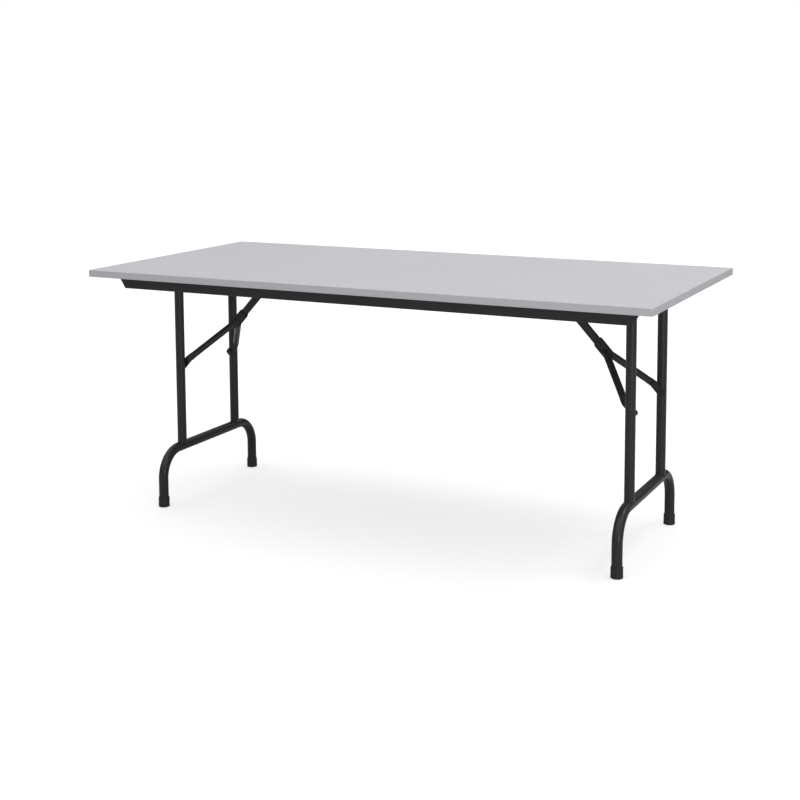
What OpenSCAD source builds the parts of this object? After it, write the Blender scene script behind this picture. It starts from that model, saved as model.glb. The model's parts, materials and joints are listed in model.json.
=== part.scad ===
// Folding table with a laminated top, two steel aprons and two folding leg frames.
// Millimetres. +Z is up and X runs along the table. The origin is on the floor, under the
// middle of the top. The table is drawn unfolded, standing on its four feet.

/* [Table] */
// Length of the top
table_l = 1700; // [1300:1:2200]
// Width of the top
table_w = 820; // [700:1:1000]
// Height from the floor to the top surface
table_h = 740; // [650:1:800]
// Thickness of the whole top
top_t = 20; // [16:0.5:30]
// Radius of the top's corners
corner_r = 5; // [3:1:40]
// Thickness of the edge band round the top
band_t = 2; // [1:0.5:4]
// Thickness of the laminate sheet and of the backer sheet
sheet_t = 0.8; // [0.5:0.1:1.5]

/* [Aprons] */
// Height of an apron
apron_h = 40; // [30:1:60]
// Wall of an apron
apron_wall = 1.5; // [1:0.1:3]
// Distance from the table's long edge to the apron's outer face
apron_inset = 76; // [40:1:90]
// Distance from the table's end to the apron's end
apron_end = 49; // [30:1:120]
// Length of the bevel at an apron's end
apron_bevel = 26; // [5:1:30]
// Width of the flange that is screwed to the top
apron_flange = 26; // [20:1:36]
// Width of the lip along the bottom edge
apron_lip = 10; // [6:1:16]
// Screws along each apron
apron_screws_n = 7; // [4:1:10]

/* [Leg frames] */
// Distance from the table's end to the leg's hinge axis
leg_inset = 133; // [120:1:200]
// Distance from the underside of the top down to the leg's hinge axis
pivot_drop = 26; // [22:1:32]
// Outer radius of the hinge tube across the top of a leg
pivot_r = 15; // [12:0.5:18]
// Length of the hinge tube outside each pivot bracket
pivot_over = 13; // [8:1:20]
// Distance between the two uprights, centre to centre
upright_pitch = 294; // [240:1:330]
// Outer radius of an upright
upright_r = 14; // [12:0.5:14.5]
// Outer radius of the foot loop's tube
foot_r = 14.5; // [14.5:0.5:18]
// Wall of the leg tubes
tube_wall = 1.6; // [1:0.1:2.5]
// Height of the foot loop's bar above the floor
foot_bar_h = 166; // [130:1:200]
// Distance from an upright out to the foot beside it, centre to centre
foot_spread = 101; // [80:1:110]
// Bend radius of the foot loop, on the tube's centre line
bend_r = 80; // [50:1:96]
// Height of a foot cap
cap_h = 30; // [20:1:45]
// Thickness of a foot cap's wall at its top
cap_wall = 2; // [1.5:0.1:3]
// Thickness of a foot cap's sole
cap_sole = 5; // [3:0.5:8]

/* [Folding brace] */
// Distance down the upright from the hinge axis to the brace's bolts
brace_drop = 278; // [262:1:330]
// Distance from the hinge axis inward to the strut's pin
strut_reach = 254; // [230:1:260]
// Outer radius of a brace arm
arm_r = 10; // [8:0.25:11]
// Wall of a brace arm
arm_wall = 1.5; // [1:0.1:2]
// Width of an arm's flattened end
flat_w = 22; // [20:0.5:30]
// Thickness of an arm's flattened end
flat_t = 4; // [3:0.5:6]
// Length of the flattened end above its bolt
flat_run = 30; // [22:1:40]
// Length of the flattened end below its bolt
flat_tail = 15; // [10:0.5:20]
// Depth of the strut
strut_d = 19; // [17:0.5:24]
// Width of the strut
strut_w = 16; // [12:0.5:20]
// Wall of the strut
strut_wall = 2; // [1.5:0.1:3]
// Wall of the knee channel
knee_wall = 2.5; // [2:0.1:4]
// Length of the knee channel below the knee's rivet
knee_run = 50; // [46:1:90]

/* [Brackets and fasteners] */
// Plate thickness of the brackets
bracket_t = 3; // [2:0.5:4]
// Gap between an upright and the pivot bracket beside it
pivot_bracket_gap = 28; // [20:1:34]
// Width of a pivot bracket over its two ears
pivot_bracket_w = 38; // [30:1:44]
// Radius of the rivets and pins of the brace
pin_r = 4; // [3:0.25:5]
// Radius of the bolts that hold the brace to the uprights
bolt_r = 3; // [2.5:0.25:4]
// Radius of a wood screw's shank
screw_r = 2.2; // [1.5:0.1:2.5]
// Length of a wood screw's shank inside the top
screw_l = 13; // [8:0.5:14]

/* [Clearances] */
// Radial clearance of a running fit
run_fit = 0.05; // [0.02:0.01:0.1]
// Gap between faces that slide past each other
slide_gap = 0.5; // [0.3:0.1:1]
// Gap between a curved face and the part that moves beside it
curve_gap = 0.3; // [0.3:0.1:1]

/* [Hidden] */
$fn = 64;
eps = 0.01;
cut = 1;

top_z = table_h;
under_z = table_h - top_t;
core_l = table_l - 2 * band_t;
core_w = table_w - 2 * band_t;
core_r = corner_r - band_t;
core_z = under_z + sheet_t;
core_t = top_t - 2 * sheet_t;

apron_y = table_w / 2 - apron_inset;
apron_l = table_l - 2 * apron_end;

leg_x = table_l / 2 - leg_inset;
pivot_z = under_z - pivot_drop;
upright_y = upright_pitch / 2;
pivot_bracket_y = upright_y + upright_r + pivot_bracket_gap + pivot_bracket_w / 2;
pivot_l = 2 * (pivot_bracket_y + pivot_bracket_w / 2 + pivot_over);
foot_y = upright_y + foot_spread;
foot_bend_r = min(bend_r, foot_spread - upright_r);
plug_head = 3;
plug_depth = 12;
head_bevel = 1;
cap_edge = 1.5;
cap_flare = 0.5;
cap_rim = 2;

// The brace is straight when the leg stands and folds flat when the leg lies under the top,
// so its two lengths are half the sum and half the difference of the two distances.
brace_l = norm([brace_drop, strut_reach]);
yoke_l = (brace_l + brace_drop - strut_reach) / 2;
strut_l = brace_l - yoke_l;
brace_angle = atan(brace_drop / strut_reach);
bolt_z = pivot_z - brace_drop;
pin_x = leg_x - strut_reach;

flat_y = upright_y - upright_r - curve_gap - flat_t / 2;
knee_in = strut_w / 2 + slide_gap;
knee_out = knee_in + knee_wall;
knee_in_d = strut_d / 2 + curve_gap;
knee_out_d = knee_in_d + knee_wall;
knee_start = yoke_l - knee_run;
arm_weld_in = 15;
arm_seat = knee_start + arm_weld_in;
arm_angle = atan((flat_y - knee_out) / (arm_seat - flat_run));
arm_neck = 24;
arm_lap = 1;
rivet_head_r = 2 * pin_r;
rivet_head_t = 3;
rivet_crown = 0.6;
bolt_head_r = 2 * bolt_r;
bolt_head_t = 4;
nut_t = 6;

screw_head_r = 4.5;
screw_head_t = 2.5;
ear_r = pivot_r + 5;
base_l = 92;
strut_base_l = 56;
strut_base_w = 62;
strut_ear_r = 11;

steel = "#2e2e31";
plastic = "#1d1d1f";
zinc = "#9a9b9d";
blacked = "#242426";

// Where every screw enters the underside of the top, as [x, y]
function apron_screw_places() = [
    for (side = [-1, 1])
        for (i = [0 : apron_screws_n - 1])
            [
                (i / (apron_screws_n - 1) - 0.5) * (apron_l - 4 * apron_bevel),
                side * (apron_y - apron_flange / 2)
            ]
];

function pivot_screw_places() = [
    for (end = [-1, 1])
        for (side = [-1, 1])
            for (dx = [-1, 1])
                for (dy = [-1, 1])
                    [
                        end * leg_x + dx * (ear_r + base_l / 2) / 2,
                        side * pivot_bracket_y + dy * pivot_bracket_w / 4
                    ]
];

function strut_screw_places() = [
    for (end = [-1, 1])
        for (dx = [-1, 1])
            for (dy = [-1, 1])
                [
                    end * pin_x + dx * strut_base_l / 3,
                    dy * (strut_base_w / 2 + knee_out) / 2
                ]
];

// Flips a shape to the left end or the rear side of the table
module at_end(end) {
    mirror([end < 0 ? 1 : 0, 0, 0])
        children();
}

module on_side(side) {
    mirror([0, side > 0 ? 1 : 0, 0])
        children();
}

// A rod or bore along Y, centred on y = 0
module rod_y(r, l) {
    rotate([90, 0, 0])
        cylinder(r = r, h = l, center = true);
}

// A tube along Z from z = 0, open at both ends
module tube(r, wall, h) {
    difference() {
        cylinder(r = r, h = h);
        translate([0, 0, -cut])
            cylinder(r = r - wall, h = h + 2 * cut);
    }
}

module rounded_plate(l, w, r, t) {
    linear_extrude(t)
        union() {
            square([l - 2 * r, w], center = true);
            square([l, w - 2 * r], center = true);
            for (x = [-1, 1])
                for (y = [-1, 1])
                    translate([x * (l / 2 - r), y * (w / 2 - r)])
                        circle(r);
        }
}

// ---- Top ----

// Holes for the screws, from below the plate of the given thickness up past the screws' tips
module screw_holes(places, plate) {
    for (p = places)
        translate([p[0], p[1], under_z - plate - cut])
            cylinder(r = screw_r, h = plate + screw_l + 2 * cut);
}

module all_screw_holes() {
    screw_holes(apron_screw_places(), 0);
    screw_holes(pivot_screw_places(), 0);
    screw_holes(strut_screw_places(), 0);
}

module top_core() {
    color("#b08d5f")
        difference() {
            translate([0, 0, core_z])
                rounded_plate(core_l, core_w, core_r, core_t);
            all_screw_holes();
        }
}

module top_laminate() {
    color("#c8c7cc")
        translate([0, 0, top_z - sheet_t])
            rounded_plate(core_l, core_w, core_r, sheet_t);
}

module backer_sheet() {
    color("#bdbcc0")
        difference() {
            translate([0, 0, under_z])
                rounded_plate(core_l, core_w, core_r, sheet_t);
            all_screw_holes();
        }
}

module edge_band() {
    color("#a8a7ac")
        difference() {
            translate([0, 0, under_z])
                rounded_plate(table_l, table_w, corner_r, top_t);
            translate([0, 0, under_z - cut])
                rounded_plate(core_l, core_w, core_r, top_t + 2 * cut);
        }
}

// ---- Aprons ----

// Section of an apron in Y and Z: web outside, flange above, lip below
module apron_section() {
    union() {
        translate([-apron_y, -apron_h])
            square([apron_wall, apron_h]);
        translate([-apron_y, -apron_wall])
            square([apron_flange, apron_wall]);
        translate([-apron_y, -apron_h])
            square([apron_lip, apron_wall]);
    }
}

// The wedge that bevels the apron's right end; it runs past the web above and below
module apron_bevel_cut() {
    slope = apron_bevel / apron_h;
    translate([apron_l / 2, 0, under_z])
        rotate([90, 0, 0])
            linear_extrude(table_w + 2 * cut, center = true)
                polygon([
                    [slope * cut, cut],
                    [2 * cut, cut],
                    [2 * cut, -apron_h - cut],
                    [-apron_bevel - slope * cut, -apron_h - cut]
                ]);
}

module front_apron_shape() {
    difference() {
        translate([-apron_l / 2, 0, under_z])
            rotate([90, 0, 90])
                linear_extrude(apron_l)
                    apron_section();
        for (end = [-1, 1])
            at_end(end)
                apron_bevel_cut();
        screw_holes(apron_screw_places(), apron_wall);
    }
}

module front_apron() {
    color(steel)
        front_apron_shape();
}

module rear_apron() {
    color(steel)
        on_side(1)
            front_apron_shape();
}

// ---- Screws ----

// A pan-head wood screw driven upward; seat is how far its head lies below the underside
module wood_screws(places, seat) {
    color(zinc)
        for (p = places)
            translate([p[0], p[1], under_z - seat])
                union() {
                    cylinder(r = screw_r, h = seat + screw_l);
                    translate([0, 0, -screw_head_t])
                        cylinder(r1 = screw_head_r - head_bevel, r2 = screw_head_r, h = screw_head_t);
                }
}

module apron_screws() {
    wood_screws(apron_screw_places(), apron_wall);
}

module pivot_bracket_screws() {
    wood_screws(pivot_screw_places(), bracket_t);
}

module strut_bracket_screws() {
    wood_screws(strut_screw_places(), bracket_t);
}

// ---- Brackets under the top ----

// An ear that hangs from the underside and rounds off below its bore
module ear(r, bore, drop) {
    rotate([90, 0, 0])
        linear_extrude(bracket_t, center = true)
            difference() {
                union() {
                    circle(r);
                    translate([-r, 0])
                        square([2 * r, drop - eps]);
                }
                circle(bore);
            }
}

module pivot_bracket(end, side) {
    color(steel)
        difference() {
            translate([end * leg_x, side * pivot_bracket_y, 0])
                union() {
                    translate([-base_l / 2, -pivot_bracket_w / 2, under_z - bracket_t])
                        cube([base_l, pivot_bracket_w, bracket_t]);
                    for (s = [-1, 1])
                        translate([0, s * (pivot_bracket_w - bracket_t) / 2, pivot_z])
                            ear(ear_r, pivot_r + run_fit, pivot_drop);
                }
            screw_holes(pivot_screw_places(), bracket_t);
        }
}

module strut_bracket(end) {
    color(steel)
        difference() {
            translate([end * pin_x, 0, 0])
                union() {
                    translate([-strut_base_l / 2, -strut_base_w / 2, under_z - bracket_t])
                        cube([strut_base_l, strut_base_w, bracket_t]);
                    for (s = [-1, 1])
                        translate([0, s * (knee_in + bracket_t / 2), pivot_z])
                            ear(strut_ear_r, pin_r, pivot_drop);
                }
            screw_holes(strut_screw_places(), bracket_t);
        }
}

// A pin with a domed head at both ends; grip is the length between the heads
module headed_pin(r, grip) {
    union() {
        rod_y(r, grip);
        for (s = [-1, 1])
            translate([0, s * grip / 2, 0])
                rotate([-90 * s, 0, 0])
                    rivet_head();
    }
}

module rivet_head() {
    rotate_extrude()
        polygon([
            [0, 0],
            [rivet_head_r, 0],
            [rivet_head_r, rivet_head_t / 3],
            [rivet_head_r * rivet_crown, rivet_head_t],
            [0, rivet_head_t]
        ]);
}

module strut_pin(end) {
    color(blacked)
        translate([end * pin_x, 0, pivot_z])
            headed_pin(pin_r, 2 * (knee_in + bracket_t));
}

// ---- Leg frames ----

module pivot_tube(end) {
    color(steel)
        translate([end * leg_x, -pivot_l / 2, pivot_z])
            rotate([-90, 0, 0])
                tube(pivot_r, tube_wall, pivot_l);
}

// Plastic plugs in the two ends of the hinge tube
module pivot_plugs(end) {
    color(plastic)
        for (s = [-1, 1])
            translate([end * leg_x, s * pivot_l / 2, pivot_z])
                rotate([-90 * s, 0, 0])
                    union() {
                        cylinder(r1 = pivot_r, r2 = pivot_r - head_bevel, h = plug_head);
                        translate([0, 0, -plug_depth])
                            cylinder(r = pivot_r - tube_wall, h = plug_depth + eps);
                    }
}

// An upright is coped at both ends, round the hinge tube above and the foot bar below
module upright(end, side) {
    color(steel)
        translate([end * leg_x, side * upright_y, 0])
            difference() {
                translate([0, 0, foot_bar_h])
                    tube(upright_r, tube_wall, pivot_z - foot_bar_h);
                translate([0, 0, foot_bar_h])
                    rod_y(foot_r, 4 * foot_r);
                translate([0, 0, pivot_z])
                    rod_y(pivot_r, 4 * pivot_r);
                translate([0, 0, bolt_z])
                    rod_y(bolt_r, 4 * upright_r);
            }
}

// One bend of the foot loop, from the bar down into the foot at +Y
module foot_bend() {
    translate([0, foot_y - foot_bend_r, foot_bar_h - foot_bend_r])
        rotate([90, 0, 90])
            rotate_extrude(angle = 90)
                translate([foot_bend_r, 0])
                    difference() {
                        circle(foot_r);
                        circle(foot_r - tube_wall);
                    }
}

module foot_loop(end) {
    color(steel)
        translate([end * leg_x, 0, 0])
            union() {
                translate([0, foot_bend_r - foot_y, foot_bar_h])
                    rotate([-90, 0, 0])
                        tube(foot_r, tube_wall, 2 * (foot_y - foot_bend_r));
                for (s = [-1, 1])
                    mirror([0, s < 0 ? 1 : 0, 0])
                        union() {
                            foot_bend();
                            translate([0, foot_y, cap_sole])
                                tube(foot_r, tube_wall, foot_bar_h - foot_bend_r - cap_sole);
                        }
            }
}

// A cup that the foot's tube stands in, a little wider at the floor
module foot_cap(end, side) {
    cap_r = foot_r + cap_wall;
    color(plastic)
        translate([end * leg_x, side * foot_y, 0])
            rotate_extrude()
                polygon([
                    [0, 0],
                    [cap_r - cap_edge, 0],
                    [cap_r + cap_flare, cap_rim],
                    [cap_r, cap_h - cap_rim],
                    [cap_r - head_bevel, cap_h],
                    [foot_r + run_fit, cap_h],
                    [foot_r + run_fit, cap_sole],
                    [0, cap_sole]
                ]);
}

// Bolts through the uprights; each ends at the upright's inner face
module brace_bolts(end) {
    color(blacked)
        for (s = [-1, 1])
            translate([end * leg_x, s * upright_y, bolt_z])
                rotate([-90 * s, 0, 0])
                    union() {
                        translate([0, 0, -upright_r])
                            cylinder(r = bolt_r, h = 2 * upright_r + eps);
                        translate([0, 0, upright_r])
                            cylinder(r1 = bolt_head_r, r2 = bolt_head_r - head_bevel, h = bolt_head_t);
                    }
}

// ---- Folding braces ----

// Puts a shape drawn along +X from the brace's bolts onto the standing leg's brace line.
// In that drawing +Z is the side of the leg's hinge.
module on_brace(end) {
    at_end(end)
        translate([leg_x, 0, bolt_z])
            rotate([0, brace_angle, 0])
                mirror([1, 0, 0])
                    children();
}

// The arm at +Y: a flattened end on the upright, a neck, and a tube cut off at the channel
module arm_shape() {
    difference() {
        union() {
            translate([-flat_tail, flat_y - flat_t / 2, -flat_w / 2])
                cube([flat_tail + flat_run, flat_t, flat_w]);
            hull() {
                translate([flat_run - eps, flat_y - flat_t / 2, -flat_w / 2])
                    cube([eps, flat_t, flat_w]);
                arm_place()
                    translate([0, 0, arm_neck + arm_lap])
                        cylinder(r = arm_r - arm_lap / 8, h = eps, $fn = 32);
            }
            arm_place()
                translate([0, 0, arm_neck])
                    cylinder(r = arm_r, h = arm_length());
        }
        arm_place()
            translate([0, 0, arm_neck + 2 * arm_wall])
                cylinder(r = arm_r - arm_wall, h = arm_length() + cut);
        translate([0, -yoke_l, -flat_w])
            cube([2 * yoke_l, yoke_l + knee_out, 2 * flat_w]);
        translate([0, flat_y, 0])
            rod_y(bolt_r, 4 * flat_t);
    }
}

// Runs along the arm's centre line from the top of its flattened end
module arm_place() {
    translate([flat_run, flat_y, 0])
        rotate([arm_angle, 90, 0])
            children();
}

function arm_length() = (flat_y - knee_out) / sin(arm_angle) - arm_neck + 2 * arm_r;

module brace_arm(end, side) {
    color(steel)
        on_brace(end)
            on_side(-side)
                arm_shape();
}

// Channel that holds the strut at the knee: two cheeks, and a web that stops it
module knee_channel(end) {
    color(steel)
        on_brace(end)
            difference() {
                rotate([90, 0, 0])
                    linear_extrude(2 * knee_out, center = true)
                        difference() {
                            union() {
                                translate([knee_start, -knee_out_d])
                                    square([knee_run, 2 * knee_out_d]);
                                translate([yoke_l, 0])
                                    circle(knee_out_d);
                                translate([yoke_l, 0])
                                    square([knee_out_d, knee_out_d]);
                            }
                            translate([yoke_l, 0])
                                circle(pin_r);
                        }
                translate([knee_start - cut, -knee_in, -2 * knee_out_d])
                    cube([knee_run + 4 * knee_out_d, 2 * knee_in, 2 * knee_out_d + knee_in_d]);
            }
}

module knee_rivet(end) {
    color(blacked)
        on_brace(end)
            translate([yoke_l, 0, 0])
                headed_pin(pin_r, 2 * knee_out);
}

// Nuts on the arms' flattened ends, with a stub that fills the arm's hole
module brace_nuts(end) {
    color(blacked)
        on_brace(end)
            for (s = [-1, 1])
                translate([0, s * (flat_y + flat_t / 2), 0])
                    rotate([90 * s, 0, 0])
                        union() {
                            cylinder(r = bolt_r, h = flat_t + eps);
                            translate([0, 0, flat_t])
                                cylinder(r1 = bolt_head_r, r2 = bolt_head_r - head_bevel, h = nut_t);
                        }
}

// A folded-steel strut, open on the side away from the leg's hinge
module strut(end) {
    color(steel)
        on_brace(end)
            translate([yoke_l, 0, 0])
                difference() {
                    rotate([90, 0, 0])
                        linear_extrude(strut_w, center = true)
                            difference() {
                                union() {
                                    translate([0, -strut_d / 2])
                                        square([strut_l, strut_d]);
                                    for (x = [0, strut_l])
                                        translate([x, 0])
                                            circle(strut_d / 2);
                                }
                                for (x = [0, strut_l])
                                    translate([x, 0])
                                        circle(pin_r + run_fit);
                            }
                    translate([-strut_d, -strut_w / 2 + strut_wall, -strut_d])
                        cube([
                            strut_l + 2 * strut_d,
                            strut_w - 2 * strut_wall,
                            1.5 * strut_d - strut_wall
                        ]);
                }
}

top_core();
top_laminate();
backer_sheet();
edge_band();
front_apron();
rear_apron();
apron_screws();
pivot_bracket(1, -1);  // right_front_pivot_bracket
pivot_bracket(1, 1);  // right_rear_pivot_bracket
pivot_bracket(-1, -1);  // left_front_pivot_bracket
pivot_bracket(-1, 1);  // left_rear_pivot_bracket
pivot_bracket_screws();
strut_bracket(1);  // right_strut_bracket
strut_bracket(-1);  // left_strut_bracket
strut_bracket_screws();
strut_pin(1);  // right_strut_pin
strut_pin(-1);  // left_strut_pin
pivot_tube(1);  // right_pivot_tube
pivot_plugs(1);  // right_pivot_plugs
upright(1, -1);  // right_front_upright
upright(1, 1);  // right_rear_upright
foot_loop(1);  // right_foot_loop
foot_cap(1, -1);  // right_front_foot_cap
foot_cap(1, 1);  // right_rear_foot_cap
brace_bolts(1);  // right_brace_bolts
pivot_tube(-1);  // left_pivot_tube
pivot_plugs(-1);  // left_pivot_plugs
upright(-1, -1);  // left_front_upright
upright(-1, 1);  // left_rear_upright
foot_loop(-1);  // left_foot_loop
foot_cap(-1, -1);  // left_front_foot_cap
foot_cap(-1, 1);  // left_rear_foot_cap
brace_bolts(-1);  // left_brace_bolts
brace_arm(1, -1);  // right_front_brace_arm
brace_arm(1, 1);  // right_rear_brace_arm
knee_channel(1);  // right_knee_channel
knee_rivet(1);  // right_knee_rivet
brace_nuts(1);  // right_brace_nuts
strut(1);  // right_strut
brace_arm(-1, -1);  // left_front_brace_arm
brace_arm(-1, 1);  // left_rear_brace_arm
knee_channel(-1);  // left_knee_channel
knee_rivet(-1);  // left_knee_rivet
brace_nuts(-1);  // left_brace_nuts
strut(-1);  // left_strut
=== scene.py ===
# %% [markdown]
# # A folding table with steel legs
# The table is a laminated board on two steel aprons. Under each end hangs a tube frame that
# folds up flat, held open by a brace with a knee in it. The structure comes from the packed
# CAD frame. This script gives every piece its finish, and remakes the pieces whose true shape
# is softer than the CAD solid: rounded edging, bent tubes, weld beads, folded sheet and screws.

# %% Load the frame
import json
import math

import bmesh
import bpy
import numpy as np
from mathutils import Matrix, Vector


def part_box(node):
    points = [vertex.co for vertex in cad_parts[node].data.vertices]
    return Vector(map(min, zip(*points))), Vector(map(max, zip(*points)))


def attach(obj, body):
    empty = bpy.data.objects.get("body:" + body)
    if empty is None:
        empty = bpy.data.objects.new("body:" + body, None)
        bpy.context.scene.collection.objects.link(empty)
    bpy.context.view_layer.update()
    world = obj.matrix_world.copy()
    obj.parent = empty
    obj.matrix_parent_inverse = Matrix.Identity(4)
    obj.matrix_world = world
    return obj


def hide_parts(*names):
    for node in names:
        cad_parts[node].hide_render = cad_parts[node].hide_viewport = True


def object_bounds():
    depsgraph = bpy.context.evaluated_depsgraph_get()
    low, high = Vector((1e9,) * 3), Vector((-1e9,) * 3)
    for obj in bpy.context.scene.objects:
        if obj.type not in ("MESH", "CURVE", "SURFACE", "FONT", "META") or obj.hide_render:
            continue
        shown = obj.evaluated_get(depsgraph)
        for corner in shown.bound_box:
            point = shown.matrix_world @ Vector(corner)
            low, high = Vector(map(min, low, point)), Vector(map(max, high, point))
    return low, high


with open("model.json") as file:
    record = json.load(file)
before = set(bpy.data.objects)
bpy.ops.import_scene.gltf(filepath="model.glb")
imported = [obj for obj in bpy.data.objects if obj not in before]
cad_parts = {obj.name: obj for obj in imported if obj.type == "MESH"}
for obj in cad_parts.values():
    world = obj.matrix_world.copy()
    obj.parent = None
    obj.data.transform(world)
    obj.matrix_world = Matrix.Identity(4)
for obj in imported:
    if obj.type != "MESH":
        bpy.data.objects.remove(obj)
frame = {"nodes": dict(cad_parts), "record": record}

MM = 0.001
cad_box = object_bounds()
table_size = cad_box[1] - cad_box[0]
print("the table is", [round(v, 3) for v in table_size], "metres,", len(frame["nodes"]), "nodes")

# %% [markdown]
# ## Studio
# A table like this is usually shown from beside one leg, a little above the top, with a long
# lens. The camera keeps the legs nearly parallel by looking almost level and shifting its
# frame down. A white floor and a white sky keep the background clean. The sky is brightest
# overhead, which lights the top. Two wide soft panels, from the right and from the front, shape
# the tubes, and three small ones put soft glints on the bends, as lamps in a studio do.

# %% Camera
CAMERA_AT = Vector((1.778, -3.619, 1.276))
CAMERA_YAW = math.radians(26.56)
CAMERA_DOWN = math.radians(6.38)
CAMERA_ROLL = math.radians(-0.30)
SENSOR = 36.0
FOCAL_SHARE = 1.7374
SHIFT_DOWN = 0.2


def camera_axes(yaw, down, roll):
    """Right, up and ahead of a camera turned left by yaw, tipped down, then rolled about ahead."""
    level = Vector((-math.sin(yaw), math.cos(yaw), 0))
    right = Vector((math.cos(yaw), math.sin(yaw), 0))
    ahead = level * math.cos(down) - Vector((0, 0, math.sin(down)))
    up = Vector((0, 0, math.cos(down))) + level * math.sin(down)
    rolled_right = right * math.cos(roll) + up * math.sin(roll)
    rolled_up = up * math.cos(roll) - right * math.sin(roll)
    return rolled_right, rolled_up, ahead


right, up, ahead = camera_axes(CAMERA_YAW, CAMERA_DOWN, CAMERA_ROLL)
lens = bpy.data.cameras.new("camera")
lens.sensor_width = SENSOR
lens.lens = SENSOR * FOCAL_SHARE
lens.shift_y = -SHIFT_DOWN
camera = bpy.data.objects.new("camera", lens)
camera.matrix_world = Matrix((right, up, -ahead)).transposed().to_4x4()
camera.location = CAMERA_AT
bpy.context.scene.collection.objects.link(camera)
bpy.context.scene.camera = camera
bpy.context.scene.view_settings.view_transform = "Standard"
print("lens", round(lens.lens, 1), "mm")

# %% Floor
FLOOR_SIZE = 60.0
FLOOR_GREY = 0.5
FLOOR_LIFT = 0.6


def plain_floor(size):
    """A flat square of floor under the table, centred on it."""
    half = size / 2
    mesh = bpy.data.meshes.new("floor")
    corners = [(-half, -half, 0), (half, -half, 0), (half, half, 0), (-half, half, 0)]
    mesh.from_pydata(corners, [], [(0, 1, 2, 3)])
    return bpy.data.objects.new("floor", mesh)


def math_node(tree, operation, source, number):
    """The result of a math operation on a socket and a fixed number."""
    node = tree.nodes.new("ShaderNodeMath")
    node.operation = operation
    node.inputs[1].default_value = number
    tree.links.new(source, node.inputs[0])
    return node.outputs[0]


def studio_paint(grey, lift):
    """Matt pale paint; seen directly it glows by lift, so that it meets the white sky."""
    paint = bpy.data.materials.new("floor_paint")
    paint.use_nodes = True
    tree = paint.node_tree
    shader = tree.nodes["Principled BSDF"]
    shader.inputs["Base Color"].default_value = (grey, grey, grey, 1)
    shader.inputs["Roughness"].default_value = 0.9
    shader.inputs["Specular IOR Level"].default_value = 0.1
    shader.inputs["Emission Color"].default_value = (1, 1, 1, 1)
    seen = tree.nodes.new("ShaderNodeLightPath").outputs["Is Camera Ray"]
    tree.links.new(math_node(tree, "MULTIPLY", seen, lift), shader.inputs["Emission Strength"])
    return paint


floor = plain_floor(FLOOR_SIZE)
bpy.context.scene.collection.objects.link(floor)
floor.data.materials.append(studio_paint(FLOOR_GREY, FLOOR_LIFT))
print("floor is", FLOOR_SIZE, "metres wide")

# %% Sky: the camera sees white, and the light grows with height above the horizon
ZENITH = 2.0


def studio_sky(zenith):
    """Light of zenith times the squared sine of the elevation; plain white to look at."""
    world = bpy.data.worlds.new("sky")
    world.use_nodes = True
    tree = world.node_tree
    direction = tree.nodes.new("ShaderNodeTexCoord").outputs["Generated"]
    parts = tree.nodes.new("ShaderNodeSeparateXYZ")
    tree.links.new(direction, parts.inputs[0])
    above = math_node(tree, "MAXIMUM", parts.outputs["Z"], 0)
    glow = math_node(tree, "MULTIPLY", math_node(tree, "POWER", above, 2), zenith)
    light = tree.nodes["Background"]
    light.inputs["Color"].default_value = (1, 1, 1, 1)
    tree.links.new(glow, light.inputs["Strength"])
    seen = tree.nodes.new("ShaderNodeBackground")
    seen.inputs["Color"].default_value = (1, 1, 1, 1)
    pick = tree.nodes.new("ShaderNodeMixShader")
    by_camera = tree.nodes.new("ShaderNodeLightPath").outputs["Is Camera Ray"]
    tree.links.new(by_camera, pick.inputs[0])
    tree.links.new(light.outputs[0], pick.inputs[1])
    tree.links.new(seen.outputs[0], pick.inputs[2])
    tree.links.new(pick.outputs[0], tree.nodes["World Output"].inputs["Surface"])
    return world


bpy.context.scene.world = studio_sky(ZENITH)
print("sky is ready")

# %% Lamps: name, place, target, width in metres and watts
TABLE_MIDDLE = (0, 0, 0.6)
LAMPS = [
    ("from_right", (5.6, -2.6, 2.6), TABLE_MIDDLE, 4.0, 42),
    ("from_front", (-1.6, -6.0, 2.6), TABLE_MIDDLE, 4.5, 40),
    ("glint_high", (1.2, 1.5, 4.75), (0.7, 0, 0.3), 1.2, 18),
    ("glint_low", (3.35, -3.17, 0.6), (0.72, -0.35, 0.1), 0.25, 22),
    ("glint_side", (2.03, 0.86, 3.16), (0.72, -0.35, 0.15), 0.3, 8),
]


def area_light(name, place, target, size, watts):
    """A square panel of light at place that faces target, and that the camera doesn't see."""
    data = bpy.data.lights.new(name, "AREA")
    data.shape = "SQUARE"
    data.size = size
    data.energy = watts
    lamp = bpy.data.objects.new(name, data)
    lamp.location = place
    lamp.visible_camera = False
    lamp.rotation_euler = (Vector(target) - Vector(place)).to_track_quat("-Z", "Y").to_euler()
    bpy.context.scene.collection.objects.link(lamp)


for lamp in LAMPS:
    area_light(*lamp)
print(len(LAMPS), "lamps are lit")

# %% [markdown]
# ## Finishes
# Every finish is a node tree on Object coordinates, so its grain has a real size in metres and
# stays on the piece when the legs fold. One value that is the same everywhere sits on the
# shader itself. What varies, such as speckle, orange peel and scuffs, comes from noise at the
# scale of the real thing.

# %% Small helpers for node trees


def start_material(name, colour, roughness, metallic=0.0, specular=0.5):
    """A new material with its plain values set, and the Object coordinates that its grain uses."""
    material = bpy.data.materials.new(name)
    material.use_nodes = True
    tree = material.node_tree
    shader = tree.nodes["Principled BSDF"]
    shader.inputs["Base Color"].default_value = (*colour, 1)
    shader.inputs["Roughness"].default_value = roughness
    shader.inputs["Metallic"].default_value = metallic
    shader.inputs["Specular IOR Level"].default_value = specular
    coords = tree.nodes.new("ShaderNodeTexCoord").outputs["Object"]
    return material, tree, shader, coords


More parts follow.
